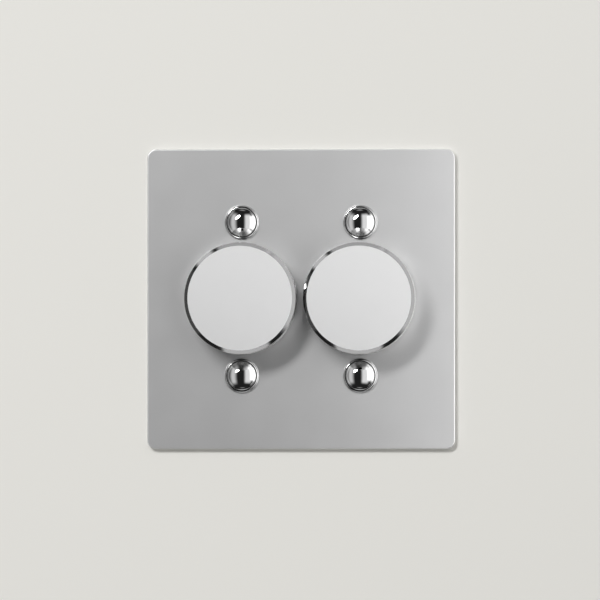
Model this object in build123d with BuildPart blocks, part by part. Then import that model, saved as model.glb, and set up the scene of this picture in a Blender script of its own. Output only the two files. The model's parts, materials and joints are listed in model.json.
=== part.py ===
from build123d import *
from math import cos, radians, sin
import os

# Two-gang rotary dimmer switch: a square metal plate with two turned knobs and four dome screws,
# and two dimmer modules on a steel yoke behind it.
# The wall is the plane Y = 0, the plate faces -Y and +Z is up. The origin is the middle of the
# line through the two wall box screws. Sizes are in millimetres.

os.makedirs("parts", exist_ok=True)

# Clearances
running_gap = 0.05
thread_gap = 0.05
press_gap = 0.03
contact_gap = 0.05
component_gap = 0.3

# Front plate
plate_width = 88.3
plate_height = 86.0
plate_thickness = 2.0
plate_corner = 2.5
plate_edge = 0.3
relief_depth = 1.0
relief_margin = 0.75
relief_corner = 3.0

# Knob
knob_radius = 16.0
knob_height = 11.0
knob_bevel_width = 1.05
knob_bevel_depth = 0.9
knob_crown = 0.7
knob_back_chamfer = 0.4
knob_stop_gap = 0.5
knob_spacing = 2.0
knob_recess_depth = 3.4
press_travel = 1.5
turn_half_range = 135.0

# Knob insert, grub screw and shaft
insert_wall = 1.5
insert_length = 5.4
shaft_radius = 3.0
shaft_flat = 1.5
shaft_end_gap = 1.0
shaft_chamfer = 0.4
grub_radius = 1.5
grub_length = 5.0
grub_key = 1.5
grub_key_depth = 1.8

# Dome screws and their collars
collar_radius = 5.0
collar_height = 1.0
collar_edge = 0.6
collar_seat = 0.4
dome_radius = 4.15
dome_crown = 1.1
dome_base = 0.5
dome_edge = 0.35
dome_groove = 0.12
stud_gap = 1.0
stud_shank_radius = 1.95
stud_hole_margin = 0.2
stud_tip_setback = 0.6

# Yoke, its threaded bushes and the wall box screws
box_screw_pitch = 60.3
box_slot_length = 5.6
box_slot_width = 3.9
box_slot_edge = 1.3
yoke_height = 68.5
yoke_thickness = 1.2
yoke_corner = 3.0
threaded_bush_wall = 0.7
threaded_bush_reach = 2.8
spacer_wall = 1.4

# Earth terminal
earth_margin = 2.75
earth_size = 7.0
earth_bore_radius = 1.8
earth_screw_radius = 1.5
earth_head_radius = 2.4
earth_head_height = 1.4

# Neck of the module
neck_radius = 5.0
neck_reach = 3.2
neck_hole_margin = 0.1
flange_thickness = 1.0
washer_thickness = 0.5
washer_radius = 7.0
washer_tooth = 1.1
washer_teeth = 12
nut_across_flats = 14.0
nut_height = 2.0
plate_hole_margin = 0.6

# Potentiometer
rotor_wall = 1.1
rotor_thickness = 3.0
lug_reach = 1.1
lug_half_angle = 12.0
lug_thickness = 1.5
lug_stop_play = 1.0
wiper_thickness = 0.2
wiper_drop = 0.95
wiper_width = 1.2
wiper_tip = 0.6
wiper_setback = 0.3
track_gap_half_angle = 28.0
track_thickness = 0.6
pot_wall = 0.7
pot_end_wall = 0.8
pot_back_wall = 0.6
pot_bore_margin = 0.2

# Push switch
plunger_radius = 3.7
plunger_head = 1.5
stem_radius = 2.0
stem_length = 2.5
spring_radius = 2.8
spring_wire = 0.5
spring_turns = 3.0
spring_length = 5.45
switch_wall = 1.5

# Heat sink, housing and cover screws
heat_sink_thickness = 2.0
module_gap = 1.2
module_clearance = 1.3
case_wall = 1.5
case_corner = 2.0
case_edge = 0.8
case_side_gap = 0.1
solder_room = 1.1
boss_radius = 2.2
boss_inset = 1.6
boss_length = 12.0
cover_screw_radius = 1.2
cover_head_radius = 2.3
cover_screw_length = 10.0
vent_width = 1.8
vent_length = 9.0
vent_pitch = 4.0
vent_count = 4

# Circuit board and components
board_thickness = 1.6
choke_radius = 6.8
choke_bore = 3.2
choke_width = 5.6
winding_thickness = 0.6
winding_gap_half_angle = 28.0
transistor_length = 10.8
transistor_width = 7.8
transistor_thickness = 2.7
transistor_hole_radius = 1.6
leg_width = 0.6
leg_reach = 1.2
leg_pitch = 2.3
film_length = 12.0
film_width = 5.0
film_height = 9.0
can_radius = 3.15
can_height = 9.5
can_edge = 0.4

# Terminals
clamp_width = 5.4
clamp_length = 5.6
clamp_depth = 5.6
clamp_pitch = 6.4
clamp_count = 3
clamp_wall = 0.45
wire_radius = 1.6
wire_entry_margin = 0.3
terminal_screw_radius = 1.45
terminal_head_radius = 2.1
terminal_head_height = 1.4
driver_slot_width = 0.6
driver_slot_depth = 0.7

# Layout across the plate
knob_pitch = 2 * knob_radius + knob_spacing
stud_rise = knob_radius + collar_radius + stud_gap
yoke_width = box_screw_pitch + box_slot_length + 2 * box_slot_edge
earth_drop = yoke_height / 2 - earth_margin - earth_size / 2

# Depths, from the front of the knob to the back of the module
plate_front = -plate_thickness
knob_back = plate_front - press_travel - knob_stop_gap
knob_front = knob_back - knob_height
recess_floor = knob_back - knob_recess_depth
insert_front = recess_floor - insert_length
shaft_front = insert_front + shaft_end_gap
neck_front = plate_front - neck_reach
collar_front = plate_front - collar_height
dome_seat = collar_front + collar_seat
dome_shoulder = collar_front - dome_base
dome_front = dome_shoulder - dome_crown
yoke_back = yoke_thickness
threaded_bush_back = yoke_back + threaded_bush_reach
heat_sink_back = yoke_back + heat_sink_thickness
pot_front = heat_sink_back + flange_thickness
rotor_front = pot_front + 2 * contact_gap
rotor_back = rotor_front + rotor_thickness
track_front = rotor_back + wiper_thickness + wiper_drop + contact_gap
track_back = track_front + track_thickness
switch_front = track_back + pot_back_wall
plunger_front = switch_front + contact_gap
plunger_back = plunger_front + plunger_head
switch_floor = plunger_back + spring_length
board_front = switch_floor + switch_wall
board_back = board_front + board_thickness
clamp_back = board_back + clamp_depth
body_back = board_back + solder_room + case_wall
terminal_back = clamp_back + component_gap + case_wall

# Radii that follow from the fits
insert_radius = shaft_radius + insert_wall
neck_hole_radius = neck_radius + neck_hole_margin
plate_hole_radius = nut_across_flats / 2 / cos(radians(30)) + plate_hole_margin
recess_radius = plate_hole_radius
rotor_radius = shaft_radius + rotor_wall
lug_radius = rotor_radius + lug_reach
wiper_reach = lug_radius - wiper_setback
pot_cavity_radius = lug_radius + 2 * running_gap
pot_width = 2 * (pot_cavity_radius + pot_wall)
pot_height = 2 * (pot_cavity_radius + pot_wall + pot_end_wall)
pot_bore_radius = shaft_radius + pot_bore_margin
switch_bore_radius = plunger_radius + running_gap
stud_bore_radius = stud_shank_radius + thread_gap
threaded_bush_radius = stud_bore_radius + threaded_bush_wall
spacer_radius = stud_bore_radius + spacer_wall
stud_hole_radius = stud_shank_radius + stud_hole_margin

# Module outline in its own frame: u runs outwards from the shaft, v runs up on the right-hand
# module and down on the left-hand one, which is the same module turned over.
case_outer = pot_width / 2 + case_side_gap + case_wall
case_inner = -(knob_pitch - module_gap) / 2
case_width = case_outer - case_inner
case_middle = (case_outer + case_inner) / 2
case_height = 2 * (stud_rise - threaded_bush_radius - module_clearance)
cavity_width = case_width - 2 * case_wall
cavity_height = case_height - 2 * case_wall
boss_u = cavity_width / 2 - boss_inset
boss_v = cavity_height / 2 - boss_inset
boss_points = [(case_middle + boss_u, boss_v), (case_middle - boss_u, -boss_v)]
side_v = (pot_height + cavity_height) / 4
clamp_v = -(cavity_height - clamp_length) / 2 + 2 * component_gap
terminal_room = clamp_length + 3 * component_gap
terminal_width = terminal_room + 2 * case_wall
terminal_v = -(case_height - terminal_width) / 2
wire_y = board_back + clamp_wall + wire_radius


def facing(y):
    """Plane of the whole plate at depth y, seen from the front."""
    return Plane(origin=(0, y, 0), x_dir=(1, 0, 0), z_dir=(0, -1, 0))


def level(side, y):
    """Plane at depth y with its origin on a module's shaft, x outwards and y along v."""
    return Plane(origin=(side * knob_pitch / 2, y, 0), x_dir=(side, 0, 0), z_dir=(0, -1, 0))


def across(side, v):
    """Plane square to v, with x outwards from the shaft and y as depth."""
    return Plane(origin=(side * knob_pitch / 2, 0, side * v), x_dir=(side, 0, 0), z_dir=(0, 0, side))


def beside(side, u):
    """Plane square to u, with x as depth and y along v."""
    return Plane(origin=(side * (knob_pitch / 2 + u), 0, 0), x_dir=(0, 1, 0), z_dir=(side, 0, 0))


def turning_plane(x, z):
    """Plane through a turning axis along Y at x and z, with x as radius and y as depth."""
    return Plane(origin=(x, 0, z))


def turning_axis(x, z):
    """Axis along Y at x and z."""
    return Axis((x, 0, z), (0, 1, 0))


def d_section(radius, flat):
    """Round section with one flat on its lower side, drawn in the open sketch."""
    Circle(radius)
    with Locations((0, -flat)):
        Rectangle(2 * radius, radius, align=(Align.CENTER, Align.MAX), mode=Mode.SUBTRACT)


def wedge(reach, half_angle, up, mode):
    """Triangle from the centre that spans twice the half angle, upwards or downwards."""
    tip = reach * sin(radians(half_angle))
    rise = up * reach * cos(radians(half_angle))
    Polygon((0, 0), (tip, rise), (-tip, rise), align=None, mode=mode)


# Front plate: a flat plate with a shallow relief behind it that clears the box screws' heads.
with BuildPart() as front_plate:
    with BuildSketch(facing(0)):
        RectangleRounded(plate_width, plate_height, plate_corner)
    extrude(amount=plate_thickness)
    chamfer(front_plate.faces().sort_by(Axis.Y)[0].edges(), plate_edge)
    with BuildSketch(facing(0)):
        RectangleRounded(
            yoke_width + 2 * relief_margin, yoke_height + 2 * relief_margin, relief_corner
        )
    extrude(amount=relief_depth, mode=Mode.SUBTRACT)
    with BuildSketch(facing(0)):
        with GridLocations(knob_pitch, 0, 2, 1):
            Circle(plate_hole_radius)
        with GridLocations(knob_pitch, 2 * stud_rise, 2, 2):
            Circle(stud_hole_radius)
    extrude(amount=plate_thickness, mode=Mode.SUBTRACT)
front_plate.part.label = "front_plate"
export_step(front_plate.part, "parts/front_plate.step")

# Yoke: pressed steel sheet in the mouth of the wall box, with slots for its two screws.
with BuildPart() as yoke:
    with BuildSketch(facing(yoke_back)):
        RectangleRounded(yoke_width, yoke_height, yoke_corner)
        with GridLocations(box_screw_pitch, 0, 2, 1):
            SlotOverall(box_slot_length, box_slot_width, mode=Mode.SUBTRACT)
        with GridLocations(knob_pitch, 0, 2, 1):
            Circle(neck_hole_radius, mode=Mode.SUBTRACT)
        with GridLocations(knob_pitch, 2 * stud_rise, 2, 2):
            Circle(threaded_bush_radius + press_gap, mode=Mode.SUBTRACT)
    extrude(amount=yoke_thickness)
yoke.part.label = "yoke"
export_step(yoke.part, "parts/yoke.step")

# Threaded bushes: pressed through the yoke, each with a flange that spaces the front plate.
with BuildPart() as threaded_bushes:
    with BuildSketch(facing(0)):
        with GridLocations(knob_pitch, 2 * stud_rise, 2, 2):
            Circle(spacer_radius)
    extrude(amount=relief_depth)
    with BuildSketch(facing(threaded_bush_back)):
        with GridLocations(knob_pitch, 2 * stud_rise, 2, 2):
            Circle(threaded_bush_radius)
    extrude(amount=threaded_bush_back)
    with BuildSketch(facing(threaded_bush_back)):
        with GridLocations(knob_pitch, 2 * stud_rise, 2, 2):
            Circle(stud_bore_radius)
    extrude(amount=threaded_bush_back + relief_depth, mode=Mode.SUBTRACT)
threaded_bushes.part.label = "threaded_bushes"
export_step(threaded_bushes.part, "parts/threaded_bushes.step")

# Dome collars: turned rings with a bevelled front edge and a seat that the dome stands in.
with BuildPart() as dome_collars:
    with BuildSketch(facing(plate_front)):
        with GridLocations(knob_pitch, 2 * stud_rise, 2, 2):
            Circle(collar_radius)
    extrude(amount=collar_height)
    front_rims = dome_collars.edges().group_by(Axis.Y)[0]
    chamfer(front_rims, collar_edge)
    with BuildSketch(facing(collar_front)):
        with GridLocations(knob_pitch, 2 * stud_rise, 2, 2):
            Circle(dome_radius + dome_groove)
    extrude(amount=-collar_seat, mode=Mode.SUBTRACT)
    with BuildSketch(facing(plate_front)):
        with GridLocations(knob_pitch, 2 * stud_rise, 2, 2):
            Circle(stud_hole_radius)
    extrude(amount=collar_height, mode=Mode.SUBTRACT)
dome_collars.part.label = "dome_collars"
export_step(dome_collars.part, "parts/dome_collars.step")

# Dome screws: a low crowned head with a turned-down edge, and its shank in one turning.
with BuildPart() as dome_screws:
    with BuildSketch(turning_plane(knob_pitch / 2, stud_rise)):
        with BuildLine():
            crown_arc = TangentArc(
                (0, dome_front), (dome_radius - dome_edge, dome_shoulder), tangent=(1, 0)
            )
            Polyline(
                crown_arc @ 1,
                (dome_radius, dome_shoulder + dome_edge),
                (dome_radius, dome_seat),
                (stud_shank_radius, dome_seat),
                (stud_shank_radius, threaded_bush_back - stud_tip_setback),
                (0, threaded_bush_back - stud_tip_setback),
                crown_arc @ 0,
            )
        make_face()
    revolve(axis=turning_axis(knob_pitch / 2, stud_rise))
    mirror(about=Plane.YZ)
    mirror(about=Plane.XY)
dome_screws.part.label = "dome_screws"
export_step(dome_screws.part, "parts/dome_screws.step")

# Earth terminal: a brass block on the back of the yoke with a wire bore and a clamp screw.
with BuildPart() as earth_terminal:
    with BuildSketch(facing(yoke_back)):
        with Locations((0, -earth_drop)):
            RectangleRounded(earth_size, earth_size, case_edge)
    extrude(amount=-earth_size)
    with BuildSketch(Plane(origin=(0, 0, -earth_drop), x_dir=(0, 1, 0), z_dir=(1, 0, 0))):
        with Locations((yoke_back + earth_size / 2, 0)):
            Circle(earth_bore_radius)
    extrude(amount=earth_size, both=True, mode=Mode.SUBTRACT)
    with BuildSketch(facing(yoke_back + earth_size)):
        with Locations((0, -earth_drop)):
            Circle(earth_screw_radius + thread_gap)
    extrude(amount=earth_size / 2, mode=Mode.SUBTRACT)
earth_terminal.part.label = "earth_terminal"
export_step(earth_terminal.part, "parts/earth_terminal.step")

with BuildPart() as earth_screw:
    with BuildSketch(facing(yoke_back + earth_size)):
        with Locations((0, -earth_drop)):
            Circle(earth_head_radius)
    extrude(amount=-earth_head_height)
    with BuildSketch(facing(yoke_back + earth_size)):
        with Locations((0, -earth_drop)):
            Circle(earth_screw_radius)
    extrude(amount=earth_size / 2 - earth_bore_radius)
    with BuildSketch(facing(yoke_back + earth_size + earth_head_height)):
        with Locations((0, -earth_drop)):
            Rectangle(2 * earth_head_radius, driver_slot_width)
    extrude(amount=driver_slot_depth, mode=Mode.SUBTRACT)
earth_screw.part.label = "earth_screw"
export_step(earth_screw.part, "parts/earth_screw.step")

# The two modules and their knobs. The left-hand one is the right-hand one turned over.
for name, side in (("left", -1), ("right", 1)):
    shaft_x = side * knob_pitch / 2
    spindle = turning_axis(shaft_x, 0)

    # Knob: turned from solid, with a crowned face, a bevelled rim and a recess over the neck.
    with BuildPart() as knob:
        with BuildSketch(turning_plane(shaft_x, 0)):
            with BuildLine():
                face_arc = TangentArc(
                    (0, knob_front),
                    (knob_radius - knob_bevel_width, knob_front + knob_crown),
                    tangent=(1, 0),
                )
                Polyline(
                    face_arc @ 1,
                    (knob_radius, knob_front + knob_crown + knob_bevel_depth),
                    (knob_radius, knob_back - knob_back_chamfer),
                    (knob_radius - knob_back_chamfer, knob_back),
                    (recess_radius, knob_back),
                    (recess_radius, recess_floor),
                    (0, recess_floor),
                    face_arc @ 0,
                )
            make_face()
        revolve(axis=spindle)
        with BuildSketch(level(side, recess_floor)):
            Circle(insert_radius + press_gap)
        extrude(amount=insert_length, mode=Mode.SUBTRACT)
        with BuildSketch(across(side, 0)):
            with Locations((0, recess_floor - insert_length / 2)):
                Circle(grub_radius + thread_gap)
        extrude(amount=-knob_radius, mode=Mode.SUBTRACT)
    knob.part.label = f"{name}_knob"
    export_step(knob.part, f"parts/{name}_knob.step")

    # Knob insert: plastic sleeve with a bore that fits the shaft's flat.
    with BuildPart() as knob_insert:
        with BuildSketch(level(side, recess_floor)):
            Circle(insert_radius)
        extrude(amount=insert_length)
        with BuildSketch(level(side, recess_floor)):
            d_section(shaft_radius + press_gap, shaft_flat + press_gap)
        extrude(amount=insert_length, mode=Mode.SUBTRACT)
        with BuildSketch(across(side, 0)):
            with Locations((0, recess_floor - insert_length / 2)):
                Circle(grub_radius + thread_gap)
        extrude(amount=-knob_radius, mode=Mode.SUBTRACT)
    knob_insert.part.label = f"{name}_knob_insert"
    export_step(knob_insert.part, f"parts/{name}_knob_insert.step")

    # Grub screw: bears on the shaft's flat through the knob and its insert.
    with BuildPart() as grub_screw:
        with BuildSketch(across(side, -shaft_flat - press_gap)):
            with Locations((0, recess_floor - insert_length / 2)):
                Circle(grub_radius)
        extrude(amount=-grub_length)
        with BuildSketch(across(side, -shaft_flat - press_gap - grub_length)):
            with Locations((0, recess_floor - insert_length / 2)):
                RegularPolygon(grub_key / 2, 6, major_radius=False)
        extrude(amount=grub_key_depth, mode=Mode.SUBTRACT)
    grub_screw.part.label = f"{name}_grub_screw"
    export_step(grub_screw.part, f"parts/{name}_grub_screw.step")

    # Shaft: slides in the rotor, turns it by its flat and pushes the switch's plunger.
    with BuildPart() as shaft:
        with BuildSketch(level(side, switch_front)):
            d_section(shaft_radius, shaft_flat)
        extrude(amount=switch_front - shaft_front)
        chamfer(shaft.faces().sort_by(Axis.Y)[0].edges(), shaft_chamfer)
    shaft.part.label = f"{name}_shaft"
    export_step(shaft.part, f"parts/{name}_shaft.step")

    # Neck bush: threaded outside, with a flange behind the heat sink.
    with BuildPart() as neck_bush:
        with BuildSketch(level(side, pot_front)):
            Circle(pot_width / 2)
        extrude(amount=flange_thickness)
        with BuildSketch(level(side, heat_sink_back)):
            Circle(neck_radius)
        extrude(amount=heat_sink_back - neck_front)
        chamfer(neck_bush.faces().sort_by(Axis.Y)[0].edges(), shaft_chamfer)
        with BuildSketch(level(side, pot_front)):
            Circle(shaft_radius + running_gap)
        extrude(amount=pot_front - neck_front, mode=Mode.SUBTRACT)
    neck_bush.part.label = f"{name}_neck_bush"
    export_step(neck_bush.part, f"parts/{name}_neck_bush.step")

    # Lock washer: its outer teeth bite the yoke.
    with BuildPart() as lock_washer:
        with BuildSketch(level(side, 0)):
            Circle(washer_radius)
            Circle(neck_radius + thread_gap, mode=Mode.SUBTRACT)
            with PolarLocations(washer_radius, washer_teeth):
                Rectangle(2 * washer_tooth, washer_tooth, mode=Mode.SUBTRACT)
        extrude(amount=washer_thickness)
    lock_washer.part.label = f"{name}_lock_washer"
    export_step(lock_washer.part, f"parts/{name}_lock_washer.step")

    # Neck nut: hexagon with its front corners turned off.
    with BuildPart() as neck_nut:
        with BuildSketch(level(side, -washer_thickness)):
            RegularPolygon(nut_across_flats / 2, 6, major_radius=False)
            Circle(neck_radius + thread_gap, mode=Mode.SUBTRACT)
        extrude(amount=nut_height)
    neck_nut.part.label = f"{name}_neck_nut"
    export_step(neck_nut.part, f"parts/{name}_neck_nut.step")

    # Heat sink: aluminium plate that closes the front of the module.
    with BuildPart() as heat_sink:
        with BuildSketch(level(side, heat_sink_back)):
            with Locations((case_middle, 0)):
                RectangleRounded(case_width, case_height, case_corner)
            Circle(neck_hole_radius, mode=Mode.SUBTRACT)
        extrude(amount=heat_sink_thickness)
        with Locations(level(side, yoke_back)):
            with Locations(*boss_points):
                CounterSinkHole(
                    cover_screw_radius + thread_gap, cover_head_radius + thread_gap, heat_sink_thickness
                )
    heat_sink.part.label = f"{name}_heat_sink"
    export_step(heat_sink.part, f"parts/{name}_heat_sink.step")

    # Cover screws: countersunk, from the heat sink into the housing's bosses.
    with BuildPart() as cover_screws:
        for u, v in boss_points:
            screw_x = side * (knob_pitch / 2 + u)
            head_back = yoke_back + cover_head_radius - cover_screw_radius
            with BuildSketch(turning_plane(screw_x, side * v)):
                with BuildLine():
                    Polyline(
                        (0, yoke_back),
                        (cover_head_radius, yoke_back),
                        (cover_screw_radius, head_back),
                        (cover_screw_radius, yoke_back + cover_screw_length),
                        (0, yoke_back + cover_screw_length),
                        close=True,
                    )
                make_face()
            revolve(axis=turning_axis(screw_x, side * v))
    cover_screws.part.label = f"{name}_cover_screws"
    export_step(cover_screws.part, f"parts/{name}_cover_screws.step")

    # Housing: moulded tub with a raised terminal end, two bosses, vents and wire entries.
    with BuildPart() as housing:
        with BuildSketch(level(side, body_back)):
            with Locations((case_middle, 0)):
                RectangleRounded(case_width, case_height, case_corner)
        extrude(amount=body_back - heat_sink_back)
        with BuildSketch(level(side, terminal_back)):
            with Locations((case_middle, terminal_v)):
                RectangleRounded(case_width, terminal_width, case_corner)
        extrude(amount=terminal_back - body_back)
        chamfer(housing.faces().sort_by(Axis.Y)[-1].edges(), case_edge)
        with BuildSketch(level(side, body_back - case_wall)):
            with Locations((case_middle, 0)):
                Rectangle(cavity_width, cavity_height)
        extrude(amount=body_back - case_wall - heat_sink_back, mode=Mode.SUBTRACT)
        with BuildSketch(level(side, terminal_back - case_wall)):
            with Locations((case_middle, terminal_v)):
                Rectangle(cavity_width, terminal_room)
        extrude(amount=terminal_back - body_back, mode=Mode.SUBTRACT)
        with BuildSketch(level(side, heat_sink_back + boss_length)):
            with Locations(*boss_points):
                Circle(boss_radius)
        extrude(amount=boss_length)
        with BuildSketch(level(side, yoke_back + cover_screw_length + component_gap)):
            with Locations(*boss_points):
                Circle(cover_screw_radius + thread_gap)
        extrude(amount=cover_screw_length, mode=Mode.SUBTRACT)
        with BuildSketch(level(side, terminal_back)):
            with Locations((case_middle, clamp_v)):
                with GridLocations(clamp_pitch, 0, clamp_count, 1):
                    Circle(terminal_head_radius + component_gap)
        extrude(amount=case_wall, mode=Mode.SUBTRACT)
        with BuildSketch(across(side, -case_height / 2)):
            with Locations((case_middle, wire_y)):
                with GridLocations(clamp_pitch, 0, clamp_count, 1):
                    Circle(wire_radius + wire_entry_margin)
        extrude(amount=case_wall, mode=Mode.SUBTRACT)
        with BuildSketch(level(side, body_back)):
            with Locations((case_middle, case_height / 4)):
                with GridLocations(vent_pitch, 0, vent_count, 1):
                    SlotOverall(vent_length, vent_width, rotation=90)
        extrude(amount=case_wall, mode=Mode.SUBTRACT)
    housing.part.label = f"{name}_housing"
    export_step(housing.part, f"parts/{name}_housing.step")

    # Potentiometer body: a moulded can whose inner step stops the rotor's lug at both ends.
    with BuildPart() as pot_body:
        with BuildSketch(level(side, switch_front)):
            RectangleRounded(pot_width, pot_height, pot_wall)
        extrude(amount=switch_front - pot_front)
        with BuildSketch(level(side, track_back)):
            Circle(pot_cavity_radius)
        extrude(amount=track_back - rotor_front - lug_thickness, mode=Mode.SUBTRACT)
        with BuildSketch(level(side, rotor_front + lug_thickness)):
            Circle(pot_cavity_radius)
            stop_half_angle = 180 - turn_half_range - lug_half_angle - lug_stop_play
            wedge(2 * pot_cavity_radius, stop_half_angle, -1, Mode.SUBTRACT)
            Circle(rotor_radius + 2 * running_gap)
        extrude(amount=rotor_front + lug_thickness - pot_front, mode=Mode.SUBTRACT)
        with BuildSketch(level(side, switch_front)):
            Circle(pot_bore_radius)
        extrude(amount=pot_back_wall, mode=Mode.SUBTRACT)
    pot_body.part.label = f"{name}_pot_body"
    export_step(pot_body.part, f"parts/{name}_pot_body.step")

    # Rotor: turns with the shaft's flat while the shaft slides through it.
    with BuildPart() as rotor:
        with BuildSketch(level(side, rotor_back)):
            Circle(rotor_radius)
        extrude(amount=rotor_thickness)
        with BuildSketch(level(side, rotor_front + lug_thickness)):
            Circle(lug_radius)
            wedge(2 * lug_radius, lug_half_angle, 1, Mode.INTERSECT)
        extrude(amount=lug_thickness)
        with BuildSketch(level(side, rotor_back)):
            d_section(shaft_radius + running_gap, shaft_flat + running_gap)
        extrude(amount=rotor_thickness, mode=Mode.SUBTRACT)
    rotor.part.label = f"{name}_rotor"
    export_step(rotor.part, f"parts/{name}_rotor.step")

    # Wiper: spring sheet on the back of the rotor with a tip that runs on the track.
    with BuildPart() as wiper:
        with BuildSketch(level(side, rotor_back + wiper_thickness)):
            Circle(rotor_radius)
            with Locations((0, wiper_reach / 2)):
                Rectangle(wiper_width, wiper_reach)
            Circle(pot_bore_radius, mode=Mode.SUBTRACT)
        extrude(amount=wiper_thickness)
        with BuildSketch(level(side, track_front - contact_gap)):
            with Locations((0, wiper_reach - wiper_tip / 2)):
                Rectangle(wiper_width, wiper_tip)
        extrude(amount=wiper_drop)
    wiper.part.label = f"{name}_wiper"
    export_step(wiper.part, f"parts/{name}_wiper.step")

    # Resistance track: a ring with a gap behind the end stop.
    with BuildPart() as resistance_track:
        with BuildSketch(level(side, track_back)):
            Circle(pot_cavity_radius - press_gap)
            Circle(pot_bore_radius, mode=Mode.SUBTRACT)
            wedge(2 * pot_cavity_radius, track_gap_half_angle, -1, Mode.SUBTRACT)
        extrude(amount=track_thickness)
    resistance_track.part.label = f"{name}_resistance_track"
    export_step(resistance_track.part, f"parts/{name}_resistance_track.step")

    # Switch body: holds the plunger and its spring behind the potentiometer.
    with BuildPart() as switch_body:
        with BuildSketch(level(side, board_front)):
            RectangleRounded(pot_width, pot_height - 2 * pot_end_wall, pot_wall)
        extrude(amount=board_front - switch_front)
        with BuildSketch(level(side, switch_floor)):
            Circle(switch_bore_radius)
        extrude(amount=switch_floor - switch_front, mode=Mode.SUBTRACT)
    switch_body.part.label = f"{name}_switch_body"
    export_step(switch_body.part, f"parts/{name}_switch_body.step")

    # Plunger: a head that the shaft pushes, and a stem that guides the spring.
    with BuildPart() as plunger:
        with BuildSketch(level(side, plunger_back)):
            Circle(plunger_radius)
        extrude(amount=plunger_head)
        with BuildSketch(level(side, plunger_back)):
            Circle(stem_radius)
        extrude(amount=-stem_length)
    plunger.part.label = f"{name}_plunger"
    export_step(plunger.part, f"parts/{name}_plunger.step")

    # Plunger spring: a coil of flat-sided wire round the stem.
    with BuildPart() as plunger_spring:
        rise = spring_length - spring_wire - 2 * contact_gap
        with BuildLine():
            coil = Helix(
                pitch=rise / spring_turns,
                height=rise,
                radius=spring_radius,
                center=(shaft_x, plunger_back + contact_gap + spring_wire / 2, 0),
                direction=(0, 1, 0),
            )
        outwards = coil @ 0 - Vector(shaft_x, (coil @ 0).Y, 0)
        with BuildSketch(Plane(origin=coil @ 0, x_dir=outwards, z_dir=coil % 0)):
            Rectangle(spring_wire, spring_wire)
        sweep(path=coil, is_frenet=True)
    plunger_spring.part.label = f"{name}_plunger_spring"
    export_step(plunger_spring.part, f"parts/{name}_plunger_spring.step")

    # Circuit board: carries the switch, the power parts and the terminals.
    with BuildPart() as circuit_board:
        with BuildSketch(level(side, board_back)):
            with Locations((case_middle, 0)):
                Rectangle(cavity_width - 2 * component_gap, cavity_height - 2 * component_gap)
        extrude(amount=board_thickness)
    circuit_board.part.label = f"{name}_circuit_board"
    export_step(circuit_board.part, f"parts/{name}_circuit_board.step")

    # Choke: a ring core with a winding that leaves the two leads' gap open.
    choke_u = (case_inner + case_wall - pot_width / 2) / 2
    core_width = choke_width - 2 * winding_thickness
    with BuildPart() as choke_core:
        with BuildSketch(beside(side, choke_u - core_width / 2)):
            with Locations((board_front - choke_radius, 0)):
                Circle(choke_radius - winding_thickness)
                Circle(choke_bore + winding_thickness, mode=Mode.SUBTRACT)
        extrude(amount=core_width)
    choke_core.part.label = f"{name}_choke_core"
    export_step(choke_core.part, f"parts/{name}_choke_core.step")

    with BuildPart() as choke_winding:
        with BuildSketch(beside(side, choke_u - choke_width / 2)):
            with Locations((board_front - choke_radius, 0)):
                Circle(choke_radius)
                Circle(choke_bore, mode=Mode.SUBTRACT)
            gap_rise = 2 * choke_radius * sin(radians(winding_gap_half_angle))
            gap_reach = 2 * choke_radius * cos(radians(winding_gap_half_angle))
            with Locations((board_front - choke_radius, 0)):
                Polygon(
                    (0, 0), (-gap_reach, gap_rise), (-gap_reach, -gap_rise), align=None, mode=Mode.SUBTRACT
                )
        extrude(amount=choke_width)
        add(choke_core.part, mode=Mode.SUBTRACT)
    choke_winding.part.label = f"{name}_choke_winding"
    export_step(choke_winding.part, f"parts/{name}_choke_winding.step")

    # Power transistors: flat on the back of the heat sink, with their legs bent to the board.
    body_u = case_middle - leg_reach / 2
    leg_u = body_u + (transistor_length + leg_reach) / 2
    with BuildPart() as transistors:
        with BuildSketch(level(side, heat_sink_back + transistor_thickness)):
            with Locations((body_u, 0)):
                with GridLocations(0, 2 * side_v, 1, 2):
                    Rectangle(transistor_length, transistor_width)
            with Locations((body_u - transistor_length / 4, 0)):
                with GridLocations(0, 2 * side_v, 1, 2):
                    Circle(transistor_hole_radius, mode=Mode.SUBTRACT)
        extrude(amount=transistor_thickness)
        leg_y = heat_sink_back + (transistor_thickness + leg_width) / 2
        with BuildSketch(level(side, leg_y)):
            with Locations((leg_u, side_v), (leg_u, -side_v)):
                with GridLocations(0, leg_pitch, 1, 3):
                    Rectangle(leg_reach, leg_width)
        extrude(amount=leg_width)
        with BuildSketch(level(side, board_front)):
            with Locations((leg_u + leg_reach / 2, side_v), (leg_u + leg_reach / 2, -side_v)):
                with GridLocations(0, leg_pitch, 1, 3):
                    Rectangle(leg_width, leg_width, align=(Align.MAX, Align.CENTER))
        extrude(amount=board_front - leg_y)
    transistors.part.label = f"{name}_transistors"
    export_step(transistors.part, f"parts/{name}_transistors.step")

    # Film capacitor: a potted box on the board, on the terminal-free side.
    capacitor_u = case_inner + case_wall + 2 * component_gap + film_length / 2
    with BuildPart() as film_capacitor:
        with BuildSketch(level(side, board_front)):
            with Locations((capacitor_u, side_v)):
                Rectangle(film_length, film_width)
        extrude(amount=film_height)
        chamfer(film_capacitor.faces().sort_by(Axis.Y)[0].edges(), can_edge)
    film_capacitor.part.label = f"{name}_film_capacitor"
    export_step(film_capacitor.part, f"parts/{name}_film_capacitor.step")

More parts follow.
